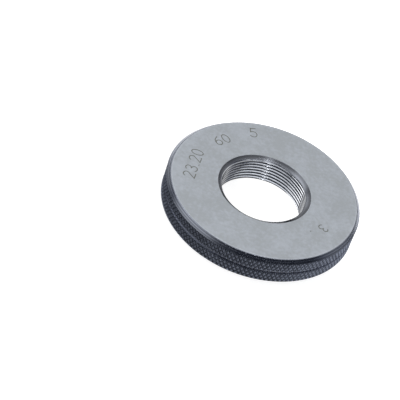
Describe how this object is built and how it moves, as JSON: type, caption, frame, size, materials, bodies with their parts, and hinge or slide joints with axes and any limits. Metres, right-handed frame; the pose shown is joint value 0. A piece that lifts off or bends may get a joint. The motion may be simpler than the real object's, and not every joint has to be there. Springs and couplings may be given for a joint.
{
  "type": "thread ring gauge",
  "caption": "No-go thread ring gauge: a flat steel ring with a knurled, grooved rim and a fine right-hand gauging thread through its bore.",
  "frame": {"origin": "on the bore axis, in the plain face that the ring lies on", "axes": "+Z along the bore axis, towards the marked face; +X and +Y lie in the plain face, and the thread's space crosses the +X side 0.05 mm below that face"},
  "size_m": [0.053, 0.053, 0.0082],
  "materials": {
    "gauge_steel": "satin ground faces and thread, darkened knurl on the rim"
  },
  "bodies": {
    "root": {"thread_ring": "gauge_steel"}
  },
  "joints": []
}
